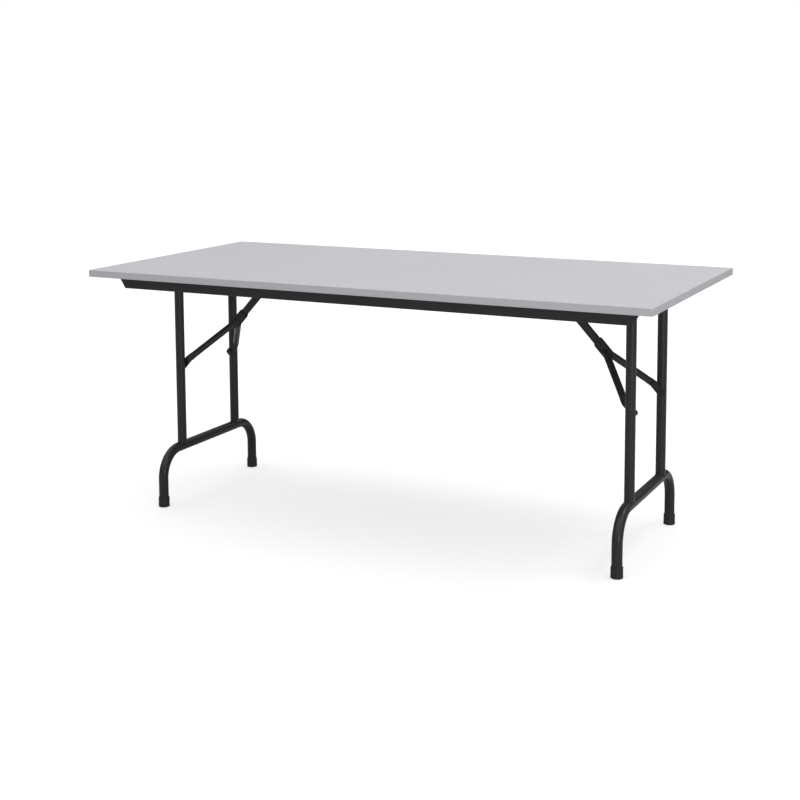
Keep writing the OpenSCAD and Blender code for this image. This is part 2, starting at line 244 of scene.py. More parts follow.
def stretched(tree, coords, scale):
    """Coordinates scaled differently along each axis, for grain that runs one way."""
    node = tree.nodes.new("ShaderNodeMapping")
    node.inputs["Scale"].default_value = scale
    tree.links.new(coords, node.inputs["Vector"])
    return node.outputs["Vector"]


def noise(tree, coords, size, detail=2.0, roughness=0.5):
    """Noise from 0 to 1 whose blobs are about size metres across."""
    node = tree.nodes.new("ShaderNodeTexNoise")
    node.inputs["Scale"].default_value = 1 / size
    node.inputs["Detail"].default_value = detail
    node.inputs["Roughness"].default_value = roughness
    tree.links.new(coords, node.inputs["Vector"])
    return node.outputs["Fac"]


def remap(tree, value, low, high, to_low, to_high):
    """Carries low..high to to_low..to_high and holds it there outside."""
    node = tree.nodes.new("ShaderNodeMapRange")
    sockets = ("From Min", "From Max", "To Min", "To Max")
    for socket, number in zip(sockets, (low, high, to_low, to_high)):
        node.inputs[socket].default_value = number
    tree.links.new(value, node.inputs["Value"])
    return node.outputs["Result"]


def blend_colour(tree, share, first, second):
    """A colour that goes from first to second as share goes from 0 to 1."""
    node = tree.nodes.new("ShaderNodeMix")
    node.data_type = "RGBA"
    for socket, colour in zip((6, 7), (first, second)):
        if hasattr(colour, "is_linked"):
            tree.links.new(colour, node.inputs[socket])
        else:
            node.inputs[socket].default_value = (*colour, 1)
    tree.links.new(share, node.inputs["Factor"])
    return node.outputs[2]


def add_bump(tree, shader, height, distance, under=None):
    """Raises the surface by height times distance, in metres, on top of another bump."""
    node = tree.nodes.new("ShaderNodeBump")
    node.inputs["Strength"].default_value = 1.0
    node.inputs["Distance"].default_value = distance
    tree.links.new(height, node.inputs["Height"])
    if under is not None:
        tree.links.new(under, node.inputs["Normal"])
    tree.links.new(node.outputs["Normal"], shader.inputs["Normal"])
    return node.outputs["Normal"]


# %% [markdown]
# The top is a high-pressure laminate in a cool light grey. It looks flat from a step away. Close
# up it has a pin-head speckle printed in two greys, and a fine pebble texture pressed into it
# that breaks up reflections. Use leaves faint cloudy patches in the gloss.

# %% Laminate, backing and edging


def laminate():
    """Printed speckle with sparse darker flecks, cloudy gloss and a pressed pebble texture."""
    grey = (0.538, 0.532, 0.562)
    material, tree, shader, coords = start_material("grey_laminate", grey, 0.45, specular=0.4)
    speckle = remap(tree, noise(tree, coords, 0.9 * MM, 2.0), 0.35, 0.65, 0, 1)
    clouds = remap(tree, noise(tree, coords, 180 * MM, 3.0), 0.3, 0.7, 0, 1)
    printed = blend_colour(tree, speckle, (0.520, 0.514, 0.544), (0.566, 0.560, 0.592))
    flecks = remap(tree, noise(tree, coords, 2.2 * MM, 1.0), 0.70, 0.76, 0, 0.5)
    printed = blend_colour(tree, flecks, printed, (0.44, 0.435, 0.46))
    tree.links.new(printed, shader.inputs["Base Color"])
    tree.links.new(remap(tree, clouds, 0, 1, 0.44, 0.48), shader.inputs["Roughness"])
    pebbles = noise(tree, coords, 1.3 * MM, 2.0)
    add_bump(tree, shader, pebbles, 0.02 * MM)
    return material


def backing():
    """Mottled grey paper whose fibres run along the board."""
    material, tree, shader, coords = start_material("backer_paper", (0.46, 0.455, 0.47), 0.6)
    mottle = remap(tree, noise(tree, coords, 14 * MM, 4.0, 0.6), 0.3, 0.7, 0, 1)
    colour = blend_colour(tree, mottle, (0.42, 0.415, 0.43), (0.49, 0.485, 0.50))
    tree.links.new(colour, shader.inputs["Base Color"])
    tree.links.new(remap(tree, mottle, 0, 1, 0.55, 0.68), shader.inputs["Roughness"])
    fibres = noise(tree, stretched(tree, coords, (0.15, 1, 1)), 0.8 * MM, 2.0)
    add_bump(tree, shader, fibres, 0.03 * MM)
    return material


def edging():
    """Printed plastic strip with handled patches and a faint upright ripple from the roller."""
    material, tree, shader, coords = start_material("grey_edging", (0.50, 0.495, 0.52), 0.38)
    print_grain = remap(tree, noise(tree, coords, 1.1 * MM, 2.0), 0.35, 0.65, 0, 1)
    colour = blend_colour(tree, print_grain, (0.490, 0.485, 0.512), (0.524, 0.519, 0.546))
    tree.links.new(colour, shader.inputs["Base Color"])
    scuffs = noise(tree, coords, 35 * MM, 4.0, 0.6)
    tree.links.new(remap(tree, scuffs, 0.35, 0.7, 0.34, 0.48), shader.inputs["Roughness"])
    ripple = noise(tree, stretched(tree, coords, (1, 1, 0.12)), 1.6 * MM, 2.0)
    add_bump(tree, shader, ripple, 0.02 * MM)
    return material


def chipboard():
    """Flat wood chips, lighter in the middle than at their edges."""
    material, tree, shader, coords = start_material("particle_board", (0.50, 0.36, 0.22), 0.85)
    chips = tree.nodes.new("ShaderNodeTexVoronoi")
    chips.inputs["Scale"].default_value = 1 / (3.5 * MM)
    tree.links.new(stretched(tree, coords, (1, 1, 2.5)), chips.inputs["Vector"])
    shade = remap(tree, chips.outputs["Distance"], 0, 0.7, 0, 1)
    colour = blend_colour(tree, shade, (0.62, 0.47, 0.30), (0.33, 0.22, 0.13))
    tree.links.new(colour, shader.inputs["Base Color"])
    add_bump(tree, shader, chips.outputs["Distance"], 0.25 * MM)
    return material


LAMINATE = laminate()
BACKING = backing()
EDGING = edging()
CHIPBOARD = chipboard()
print("board finishes:", LAMINATE.name, BACKING.name, EDGING.name, CHIPBOARD.name)

# %% [markdown]
# The steel is powder coated. Powder melts into a skin about 0.08 mm thick that never lies quite
# flat: it has an orange peel a millimetre or two across and a finer grain over it. It is satin,
# so the tubes show soft highlights, and knocks leave short pale rubs here and there.

# %% Powder coat, plastic and fasteners


def powder_coat():
    """Near-black satin: cloudy tone, orange peel, and rare pale rub marks."""
    near_black = (0.023, 0.023, 0.0255)
    material, tree, shader, coords = start_material("black_steel", near_black, 0.42, specular=0.35)
    tone = remap(tree, noise(tree, coords, 60 * MM, 2.0, 0.5), 0.3, 0.7, 0, 1)
    coat = blend_colour(tree, tone, (0.0215, 0.0215, 0.024), (0.0245, 0.0245, 0.027))
    upright = stretched(tree, coords, (1, 1, 0.4))
    rubs = remap(tree, noise(tree, upright, 6 * MM, 3.0, 0.6), 0.70, 0.78, 0, 0.4)
    colour = blend_colour(tree, rubs, coat, (0.055, 0.054, 0.054))
    tree.links.new(colour, shader.inputs["Base Color"])
    handled = noise(tree, coords, 40 * MM, 3.0, 0.5)
    tree.links.new(remap(tree, handled, 0.3, 0.7, 0.30, 0.37), shader.inputs["Roughness"])
    peel = add_bump(tree, shader, noise(tree, coords, 1.6 * MM, 1.0), 0.018 * MM)
    add_bump(tree, shader, noise(tree, coords, 0.4 * MM, 1.0), 0.004 * MM, under=peel)
    return material


def moulded_plastic():
    """Matt black with a spark-eroded grain and greyer scuffs."""
    black = (0.022, 0.022, 0.024)
    material, tree, shader, coords = start_material("black_plastic", black, 0.46, specular=0.4)
    scuffs = remap(tree, noise(tree, coords, 5 * MM, 5.0, 0.7), 0.52, 0.72, 0, 0.6)
    colour = blend_colour(tree, scuffs, (0.021, 0.021, 0.023), (0.042, 0.042, 0.044))
    tree.links.new(colour, shader.inputs["Base Color"])
    tree.links.new(remap(tree, scuffs, 0, 0.6, 0.46, 0.64), shader.inputs["Roughness"])
    spark = noise(tree, coords, 0.35 * MM, 2.0)
    add_bump(tree, shader, spark, 0.02 * MM)
    return material


def blackened_steel():
    """Oiled black oxide, rubbed to bare metal in small patches."""
    material, tree, shader, coords = start_material("blackened_steel", (0.03, 0.03, 0.031), 0.36, 0.6)
    rubbed = remap(tree, noise(tree, coords, 2.5 * MM, 4.0, 0.65), 0.4, 0.7, 0, 1)
    colour = blend_colour(tree, rubbed, (0.022, 0.022, 0.023), (0.075, 0.074, 0.073))
    tree.links.new(colour, shader.inputs["Base Color"])
    tree.links.new(remap(tree, rubbed, 0, 1, 0.30, 0.45), shader.inputs["Roughness"])
    add_bump(tree, shader, noise(tree, coords, 0.6 * MM, 2.0), 0.02 * MM)
    return material


def zinc_plate():
    """Pale plated metal with a cloudy gloss."""
    material, tree, shader, coords = start_material("zinc_steel", (0.55, 0.55, 0.57), 0.34, 1.0)
    cloud = remap(tree, noise(tree, coords, 2 * MM, 3.0), 0.3, 0.7, 0, 1)
    colour = blend_colour(tree, cloud, (0.48, 0.48, 0.50), (0.62, 0.61, 0.60))
    tree.links.new(colour, shader.inputs["Base Color"])
    tree.links.new(remap(tree, cloud, 0, 1, 0.28, 0.45), shader.inputs["Roughness"])
    add_bump(tree, shader, noise(tree, coords, 0.4 * MM, 2.0), 0.015 * MM)
    return material


POWDER = powder_coat()
PLASTIC = moulded_plastic()
BLACKENED = blackened_steel()
ZINC = zinc_plate()
FINISH = {
    "particle_board": CHIPBOARD, "grey_laminate": LAMINATE, "backer_paper": BACKING,
    "grey_edging": EDGING, "black_steel": POWDER, "black_plastic": PLASTIC,
    "blackened_steel": BLACKENED, "zinc_steel": ZINC,
}
SLOT_OF = {part["node"]: part["material_slot"] for part in frame["record"]["subparts"]}
BODIES = frame["record"]["behaviour"]["bodies"]
BODY_OF = {node: body for body, nodes in BODIES.items() for node in nodes}
for node, obj in frame["nodes"].items():
    obj.data.materials.clear()
    obj.data.materials.append(FINISH[SLOT_OF[node]])
print(len(frame["nodes"]), "CAD nodes have their finish")

# %% [markdown]
# ## Surfaces from arrays
# Most pieces here are bent tubes, turned parts and folded sheet, so each one is a grid of points
# worked out in one go: a section carried along a path, or a profile spun round an axis. A helper
# joins the grids into one mesh, merges the points that meet, and points the faces outwards.

# %% From grids of points to one closed piece
MERGE_WITHIN = 0.004 * MM
SHARP_FROM = math.radians(38)


def grid_faces(rows, columns, wrap_rows, wrap_columns, first):
    """Quad (i, j) joins points (i, j), (i, j+1), (i+1, j+1), (i+1, j); a wrapped side meets itself."""
    row = np.arange(rows if wrap_rows else rows - 1)
    column = np.arange(columns if wrap_columns else columns - 1)
    row, column = np.meshgrid(row, column, indexing="ij")
    below, beside = (row + 1) % rows, (column + 1) % columns
    corners = [(row, column), (row, beside), (below, beside), (below, column)]
    return np.stack([first + a * columns + b for a, b in corners], -1).reshape(-1, 4)


def mesh_of(name, tubes, sheets=(), wrap_rows=False):
    """A mesh of grids of points, each (rows, columns, 3), with its doubles merged.

    A tube's last column joins its first. A sheet is open on all four sides.
    """
    grids = [(tube, wrap_rows, True) for tube in tubes] + [(sheet, False, False) for sheet in sheets]
    faces, first = [], 0
    for grid, rows_meet, columns_meet in grids:
        faces.append(grid_faces(*grid.shape[:2], rows_meet, columns_meet, first))
        first += grid.shape[0] * grid.shape[1]
    faces = np.concatenate(faces)
    points = np.concatenate([grid.reshape(-1, 3) for grid, _, _ in grids])
    mesh = bpy.data.meshes.new(name)
    mesh.vertices.add(len(points))
    mesh.vertices.foreach_set("co", points.ravel())
    mesh.loops.add(faces.size)
    mesh.loops.foreach_set("vertex_index", faces.ravel().astype(np.int32))
    mesh.polygons.add(len(faces))
    mesh.polygons.foreach_set("loop_start", np.arange(0, faces.size, 4, dtype=np.int32))
    mesh.update(calc_edges=True)
    tidy_mesh(mesh)
    return mesh


def tidy_mesh(mesh):
    """Merges doubles, drops faces left without area, turns the rest outwards and shades them."""
    work = bmesh.new()
    work.from_mesh(mesh)
    bmesh.ops.remove_doubles(work, verts=work.verts, dist=MERGE_WITHIN)
    bmesh.ops.dissolve_degenerate(work, dist=MERGE_WITHIN / 4, edges=work.edges)
    bmesh.ops.recalc_face_normals(work, faces=work.faces)
    work.to_mesh(mesh)
    work.free()
    shade(mesh)


def shade(mesh):
    """Smooth faces, with hard edges where two faces meet at more than SHARP_FROM."""
    mesh.polygons.foreach_set("use_smooth", np.ones(len(mesh.polygons), dtype=bool))
    mesh.set_sharp_from_angle(angle=SHARP_FROM)


def add_piece(mesh, body, slot, *stands_for):
    """Puts the mesh into the scene with its slot's finish, on its body, in place of CAD nodes."""
    mesh.materials.clear()
    mesh.materials.append(FINISH[slot])
    piece = bpy.data.objects.new(mesh.name, mesh)
    bpy.context.scene.collection.objects.link(piece)
    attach(piece, body)
    if stands_for:
        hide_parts(*stands_for)
    return piece


# %% Profiles and paths
GUARD = 0.25 * MM
NO_LENGTH = 1e-9


def eased(corners, radius, steps=5, closed=False):
    """Rounds each corner by the curve (1-t)^2 start + 2t(1-t) corner + t^2 end, t from 0 to 1.

    Start and end lie radius before and after the corner. A guard point a little outside each
    of them keeps the shading of the flats flat.
    """
    corners = np.asarray(corners, float)
    reach = np.broadcast_to(radius, len(corners)).astype(float)[:, None]
    back = np.roll(corners, 1, 0) - corners
    forth = np.roll(corners, -1, 0) - corners
    back /= np.maximum(np.linalg.norm(back, axis=1, keepdims=True), NO_LENGTH)
    forth /= np.maximum(np.linalg.norm(forth, axis=1, keepdims=True), NO_LENGTH)
    start, end = (corners + back * reach)[:, None], (corners + forth * reach)[:, None]
    t = np.linspace(0, 1, steps)[None, :, None]
    curve = (1 - t) ** 2 * start + 2 * t * (1 - t) * corners[:, None] + t ** 2 * end
    guarded = np.concatenate([start + back[:, None] * GUARD, curve, end + forth[:, None] * GUARD], 1)
    guarded = np.where(reach[:, None] > 0, guarded, corners[:, None])
    if not closed:
        guarded[0], guarded[-1] = corners[0], corners[-1]
    return guarded.reshape(-1, 2)


def carried(outline, centres, across, up):
    """Point (i, j) is centre i, plus outline j's first number along across, plus its second along up."""
    outline = np.broadcast_to(outline, (len(centres), *outline.shape[-2:]))
    across = np.broadcast_to(across, centres.shape)[:, None]
    up = np.broadcast_to(up, centres.shape)[:, None]
    return centres[:, None] + outline[..., :1] * across + outline[..., 1:] * up


def circle(radius, count):
    """Points at radius (cos a, sin a), with a going once round in count steps."""
    angle = np.arange(count) * 2 * np.pi / count
    return radius * np.stack([np.cos(angle), np.sin(angle)], -1)


def spun(profile, count, base, axis):
    """Point (i, j) is base, plus height i along axis, plus radius i at angle 2 pi j / count round it."""
    axis = np.asarray(axis, float)
    side = np.abs(np.roll(axis, 1))
    spokes = circle(1, count) @ np.stack([side, np.cross(axis, side)])
    profile = np.asarray(profile, float)
    return np.asarray(base, float) + profile[:, 1, None, None] * axis + profile[:, :1, None] * spokes


print("helpers for surfaces are ready")

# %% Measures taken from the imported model
ENDS = {"right": 1, "left": -1}
SIDES = {"front": -1, "rear": 1}


def centre_and_size(node):
    """The middle of a node's box and its three sizes, as arrays in metres."""
    low, high = (np.array(corner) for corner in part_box(node))
    return (low + high) / 2, high - low


hinge_at, hinge_size = centre_and_size("right_pivot_tube")
upright_at, upright_size = centre_and_size("right_rear_upright")
loop_at, loop_size = centre_and_size("right_foot_loop")
cap_size = centre_and_size("right_rear_foot_cap")[1]
bolts_at = centre_and_size("right_brace_bolts")[0]
pin_at, pin_size = centre_and_size("right_strut_pin")
board_at, board_size = centre_and_size("edge_band")
LEG_X, HINGE_Z, HINGE_R = hinge_at[0], hinge_at[2], hinge_size[2] / 2
UPRIGHT_Y, UPRIGHT_R = upright_at[1], upright_size[0] / 2
FOOT_R = loop_size[0] / 2
FOOT_Y = loop_size[1] / 2 - FOOT_R
BAR_Z = loop_at[2] + loop_size[2] / 2 - FOOT_R
LOOP_FOOT_Z = loop_at[2] - loop_size[2] / 2
BOLT_Z, PIN_X = bolts_at[2], pin_at[0]
DROP, REACH = HINGE_Z - BOLT_Z, LEG_X - PIN_X
BRACE_TILT = math.atan2(DROP, REACH)
YOKE_L = (math.hypot(DROP, REACH) + DROP - REACH) / 2
print("uprights", round(UPRIGHT_R / MM, 2), "mm, feet", round(FOOT_R / MM, 2), "mm in radius")
print("the yoke is", round(YOKE_L / MM, 2), "mm from bolts to knee")

# %% [markdown]
# ## Edging
# A strip of plastic two millimetres thick is glued round the board, and a cutter then eases its
# two outer edges. That rounding gives the top its thin bright outline. The strip is a small
# section carried round a rectangle with rounded corners, with a hair of a glue line inside it.

# %% Edge band
BAND = 2.0 * MM
BAND_EASE = 1.3 * MM
GLUE_LINE = 0.18 * MM
CORNER_R = 5 * MM
CORNER_STEPS = 15


def board_edge(half_length, half_width, corner_r, steps):
    """Corner centres and outward directions round the board: steps directions to each quarter turn."""
    turn = np.linspace(0, np.pi / 2, steps)[None, :] + np.arange(4)[:, None] * np.pi / 2
    outward = np.stack([np.cos(turn), np.sin(turn), np.zeros_like(turn)], -1)
    signs = np.array([(1, 1), (-1, 1), (-1, -1), (1, -1)])
    centre = np.zeros((4, steps, 3))
    centre[..., 0] = (signs[:, 0] * (half_length - corner_r))[:, None]
    centre[..., 1] = (signs[:, 1] * (half_width - corner_r))[:, None]
    return centre.reshape(-1, 3), outward.reshape(-1, 3)


thick = board_size[2]
band_section = eased(
    [(BAND, 0), (0, 0), (0, thick), (BAND - GLUE_LINE, thick), (BAND, thick - GLUE_LINE)],
    [0, BAND_EASE, BAND_EASE, 0, 0], closed=True,
)
centres, outward = board_edge(board_size[0] / 2, board_size[1] / 2, CORNER_R, CORNER_STEPS)
rise = np.array([0, 0, 1.0])
from_edge = np.stack([CORNER_R - band_section[:, 0], band_section[:, 1]], -1)
band_base = centres + rise * (board_at[2] - thick / 2)
band = mesh_of("eased_edge_band", [carried(from_edge, band_base, outward, rise)], wrap_rows=True)
add_piece(band, "table", "grey_edging", "edge_band")
print("edge band:", len(band.polygons), "faces, outer edges eased by", round(BAND_EASE / MM, 1), "mm")

# %% [markdown]
# ## Aprons
# Each apron is one strip of steel folded twice: a flange against the board, a web, and a lip that
# stiffens the bottom edge. Folding leaves a radius twice the sheet's thickness outside and once
# inside. The outer and the inner face of the section are carried along the table, and each end
# slopes inwards towards the bottom.

# %% Folded aprons
SHEET = 1.5 * MM
FLANGE = 26 * MM
LIP = 10 * MM
END_SLOPE = 26 * MM
OUTER_FOLD = 2 * SHEET


def folded_apron(name, node, inward):
    """The section in (inward, height) carried from one end to the other; its x is the half length
    less the end slope times the share of the depth."""
    at, size = centre_and_size(node)
    outer_y = at[1] - inward * size[1] / 2
    top = at[2] + size[2] / 2
    deep = size[2]
    outer = eased([(FLANGE, 0), (0, 0), (0, -deep), (LIP, -deep)], [0, OUTER_FOLD, OUTER_FOLD, 0])
    inner = eased(
        [(FLANGE, -SHEET), (SHEET, -SHEET), (SHEET, SHEET - deep), (LIP, SHEET - deep)],
        [0, OUTER_FOLD - SHEET, OUTER_FOLD - SHEET, 0],
    )
    ring = np.concatenate([outer, inner[::-1]])
    half = size[0] / 2 + END_SLOPE * ring[:, 1] / deep
    along = np.stack([-half, half])
    points = np.empty((2, len(ring), 3))
    points[..., 0] = along
    points[..., 1] = outer_y + inward * ring[:, 0]
    points[..., 2] = top + ring[:, 1]
    opposite = len(ring) - 1 - np.arange(len(outer))
    caps = [np.stack([end[:len(outer)], end[opposite]]) for end in points]
    return mesh_of(name, [points], caps)


for side, sign in SIDES.items():
    apron = folded_apron(f"{side}_folded_apron", f"{side}_apron", -sign)
    piece = add_piece(apron, "table", "black_steel", f"{side}_apron")
    print(piece.name, len(apron.polygons), "faces")

# %% [markdown]
# ## Bent and coped tubes
# The foot loop is one length of tube bent twice on a mandrel. Its path is straight, a quarter
# circle, straight, a quarter circle, straight, all in one upright plane, so the section needs no
# twist. A real bend comes out a touch oval, flatter across the bend's plane.

# %% Foot loops
BEND_R = 80 * MM
BEND_OVAL = 0.02
TUBE_SIDES = 48
BEND_STEPS = 25


def loop_path(bend_r, steps):
    """Centres (y, z) from the front foot over the bar to the rear foot, and the angle of travel."""
    turn = np.linspace(0, np.pi / 2, steps)
    y = FOOT_Y - bend_r + bend_r * np.sin(turn)
    z = BAR_Z - bend_r + bend_r * np.cos(turn)
    rear_y, rear_z = np.append(y, FOOT_Y), np.append(z, LOOP_FOOT_Z)
    travel = np.append(turn, np.pi / 2)
    y = np.concatenate([-rear_y[::-1], rear_y])
    z = np.concatenate([rear_z[::-1], rear_z])
    return y, z, np.concatenate([-travel[::-1], travel])


def foot_loop(name, x):
    """A circle of the tube's radius carried along the path, 2% oval where the path turns."""
    y, z, travel = loop_path(BEND_R, BEND_STEPS)
    centres = np.stack([np.full_like(y, x), y, z], -1)
    outward = np.stack([np.zeros_like(y), np.sin(travel), np.cos(travel)], -1)
    share = np.sin(2 * np.abs(travel)) * BEND_OVAL
    section = circle(FOOT_R, TUBE_SIDES)[None] * np.stack([1 + share / 2, 1 - share], -1)[:, None]
    around = carried(section, centres, np.array([1.0, 0, 0]), outward)
    ends = [np.broadcast_to(centres[end], (1, TUBE_SIDES, 3)) for end in (0, -1)]
    return mesh_of(name, [np.concatenate([ends[0], around, ends[1]])])


for end, sign in ENDS.items():
    loop = foot_loop(f"{end}_bent_foot_loop", sign * LEG_X)
    add_piece(loop, f"{end}_leg", "black_steel", f"{end}_foot_loop")
    print(loop.name, len(loop.polygons), "faces")

# %% [markdown]
# An upright is coped at both ends: a hole saw cuts each end hollow so that it sits round the tube
# it is welded to. The cut is where two cylinders meet, so at distance x from the middle the end
# lies on the other tube's surface, the square root of its radius squared less x squared away.

# %% Uprights and hinge tubes
UPRIGHT_ROWS = 9
TUBE_WALL = 1.6 * MM
TUBE_END_EASE = 0.4 * MM


def coped_upright(name, x, y):
    """A ring of points at each height; both end rings follow the surfaces of the tubes they meet."""
    ring = circle(UPRIGHT_R, TUBE_SIDES)
    low = BAR_Z + np.sqrt(FOOT_R ** 2 - np.minimum(ring[:, 0] ** 2, FOOT_R ** 2))
    high = HINGE_Z - np.sqrt(HINGE_R ** 2 - np.minimum(ring[:, 0] ** 2, HINGE_R ** 2))
    share = np.linspace(0, 1, UPRIGHT_ROWS)[:, None]
    points = np.empty((UPRIGHT_ROWS, TUBE_SIDES, 3))
    points[..., 0] = x + ring[:, 0]
    points[..., 1] = y + ring[:, 1]
    points[..., 2] = low + share * (high - low)
    return mesh_of(name, [points])


def hinge_tube(name, x):
    """Profile of (radius, length): one end's cut, the outside, and the other end's cut."""
    bore_r, length = HINGE_R - TUBE_WALL, hinge_size[1]
    wall = eased(
        [(bore_r, 0), (HINGE_R, 0), (HINGE_R, length), (bore_r, length)],
        [0, TUBE_END_EASE, TUBE_END_EASE, 0],
    )
    return mesh_of(name, [spun(wall, TUBE_SIDES, (x, -length / 2, HINGE_Z), (0, 1, 0))])


for end, sign in ENDS.items():
    for side, way in SIDES.items():
        tube = coped_upright(f"{end}_{side}_coped_upright", sign * LEG_X, way * UPRIGHT_Y)
        add_piece(tube, f"{end}_leg", "black_steel", f"{end}_{side}_upright")
    hinge = hinge_tube(f"{end}_turned_hinge_tube", sign * LEG_X)
    add_piece(hinge, f"{end}_leg", "black_steel", f"{end}_pivot_tube")
print("uprights are coped", round(FOOT_R / MM, 1), "mm below and", round(HINGE_R / MM, 1), "mm above")

# %% [markdown]
# ## Weld beads
# The frame is MIG welded before it is coated. A bead is a row of overlapping puddles like a
# fallen stack of coins, and the powder softens it without hiding it. Each bead is a small circle
# carried round the joint, whose radius swells and shrinks once for each puddle.

# %% Beads where tubes meet tubes
BEAD_R = 1.8 * MM
PUDDLE = 2.9 * MM
BEAD_SWELL = 0.18
BEAD_WANDER = 0.05
WANDER_WAVES = 5
POINTS_PER_PUDDLE = 6
BEAD_SIDES = 12


def weld_bead(centres, outward, along, puddles):
    """Point (i, j) is centre i plus a circle in the plane of outward and along.

    Its radius is BEAD_R times 1 - BEAD_SWELL + BEAD_SWELL |cos| of the puddle's phase, and a slow
    wave round the joint keeps two puddles from looking the same.
    """
    turn = np.arange(len(centres)) / len(centres)
    ripple = np.abs(np.cos(np.pi * puddles * turn))
    unsteady = BEAD_WANDER * np.sin(2 * np.pi * WANDER_WAVES * turn + centres[0, 1] / MM)
    radius = BEAD_R * (1 - BEAD_SWELL + BEAD_SWELL * ripple + unsteady)
    section = circle(1, BEAD_SIDES)[None] * radius[:, None, None]
    return carried(section, centres, outward, along)


def cope_bead(name, x, y, tube_z, tube_r, way):
    """The bead's centres lie where the upright's cylinder meets the cross tube's, way up or down."""
    puddles = round(2 * np.pi * UPRIGHT_R / PUDDLE)
    spokes = circle(1, puddles * POINTS_PER_PUDDLE)
    across = UPRIGHT_R * spokes[:, 0]
    centres = np.stack([
        x + across,
        y + UPRIGHT_R * spokes[:, 1],
        tube_z + way * np.sqrt(tube_r ** 2 - np.minimum(across ** 2, tube_r ** 2)),
    ], -1)
    outward = np.concatenate([spokes, np.zeros((len(spokes), 1))], 1)
    return mesh_of(name, [weld_bead(centres, outward, np.array([0, 0, 1.0]), puddles)], wrap_rows=True)


for end, sign in ENDS.items():
    for side, way in SIDES.items():
        place = sign * LEG_X, way * UPRIGHT_Y
        low = cope_bead(f"{end}_{side}_bar_weld", *place, BAR_Z, FOOT_R, 1)
        high = cope_bead(f"{end}_{side}_hinge_weld", *place, HINGE_Z, HINGE_R, -1)
        add_piece(low, f"{end}_leg", "black_steel")
        add_piece(high, f"{end}_leg", "black_steel")
print("a bead has", len(low.polygons), "faces")

# %% [markdown]
# ## Moulded caps and plugs
# Feet and tube ends are closed with black plastic. A foot cap is a cup with a thicker sole, a
# flare that spreads the load, and a rolled rim. A plug is a shallow dome with a dimple where the
# plastic was fed in. Both are turned shapes: one profile spun round an axis.

# %% Foot caps and hinge plugs
SOLE_IN = 1.5 * MM
SOLE_RISE = 2 * MM
FLARE = 0.5 * MM
FLARE_TOP = 8 * MM
GROOVE_DEEP = 0.7 * MM
GROOVE_DOWN = 5.2 * MM
GROOVE_HALF = 0.8 * MM
BORE_SLACK = 0.05 * MM
CAP_EASES = np.array([0, 0.8, 1, 3, 0.4, 0.4, 0.4, 1, 0.3, 0, 0]) * MM
PLUG_TOP = 3 * MM
PLUG_SHOULDER = 1.6 * MM
PLUG_LIP = 0.1 * MM
PLUG_SINK = 12 * MM
DIMPLE_R = 3 * MM
DIMPLE_DEEP = 0.7 * MM
PLUG_EASES = np.array([0, 0.5, 0.5, 2, 0.8, 0.2, 0, 0, 0]) * MM
TURNED_SIDES = 64


def foot_cap(name, x, y):
    """Profile of (radius, height): sole, flare, wall with a groove below its rim, and the bore."""
    outer, tall = cap_size[0] / 2, cap_size[2]
    wall, bore, groove = outer - FLARE, FOOT_R + BORE_SLACK, tall - GROOVE_DOWN
    profile = eased([
        (0, 0), (outer - SOLE_IN, 0), (outer, SOLE_RISE), (wall, FLARE_TOP),
        (wall, groove - GROOVE_HALF), (wall - GROOVE_DEEP, groove), (wall, groove + GROOVE_HALF),
        (wall, tall), (bore, tall), (bore, LOOP_FOOT_Z), (0, LOOP_FOOT_Z),
    ], CAP_EASES)
    return mesh_of(name, [spun(profile, TURNED_SIDES, (x, y, 0), (0, 0, 1))])


def hinge_plug(base, way):
    """Profile of (radius, height) from the dimple out over the head and down inside the tube."""
    dimple_z, rim_r, stem_r = PLUG_TOP - DIMPLE_DEEP, HINGE_R - PLUG_LIP, HINGE_R - TUBE_WALL - PLUG_LIP
    profile = eased([
        (0, dimple_z), (DIMPLE_R * 0.6, dimple_z), (DIMPLE_R, PLUG_TOP),
        (HINGE_R * 0.75, PLUG_TOP - 0.2 * MM), (rim_r, PLUG_SHOULDER), (rim_r, 0), (stem_r, 0),
        (stem_r, -PLUG_SINK), (0, -PLUG_SINK),
    ], PLUG_EASES)
    return spun(profile, TURNED_SIDES, base, (0, way, 0))


for end, sign in ENDS.items():
    for side, way in SIDES.items():
        cap = foot_cap(f"{end}_{side}_moulded_cap", sign * LEG_X, way * FOOT_Y)
        add_piece(cap, f"{end}_leg", "black_plastic", f"{end}_{side}_foot_cap")
    bases = [((sign * LEG_X, way * hinge_size[1] / 2, HINGE_Z), way) for way in (-1, 1)]
    plugs = mesh_of(f"{end}_moulded_plugs", [hinge_plug(base, way) for base, way in bases])
    add_piece(plugs, f"{end}_leg", "black_plastic", f"{end}_pivot_plugs")
print("caps are", round(cap_size[2] / MM), "mm tall; a pair of plugs has", len(plugs.polygons), "faces")

# %% [markdown]
# ## Brace arms
# An arm is a tube hammered flat at one end, where it is bolted to the upright, and cut at a slant
# at the other, where it is welded to the knee channel. Flattening keeps the wall's length, so the
# section widens as it thins. A superellipse does this with one formula: its exponent goes from 2,
# a circle, to a higher number, a flat bar with rounded edges.

# %% Where the brace lies
ARM_R = 10 * MM
FLAT_T = 4 * MM
FLAT_W = 22 * MM
FLAT_RUN = 30 * MM
FLAT_TAIL = 15 * MM
NECK = 24 * MM
ARM_GAP = 0.3 * MM
CHEEK_Y = 11 * MM
SEAT_X = YOKE_L - 35 * MM
FLAT_Y = UPRIGHT_Y - UPRIGHT_R - ARM_GAP - FLAT_T / 2
ARM_TURN = math.atan((FLAT_Y - CHEEK_Y) / (SEAT_X - FLAT_RUN))


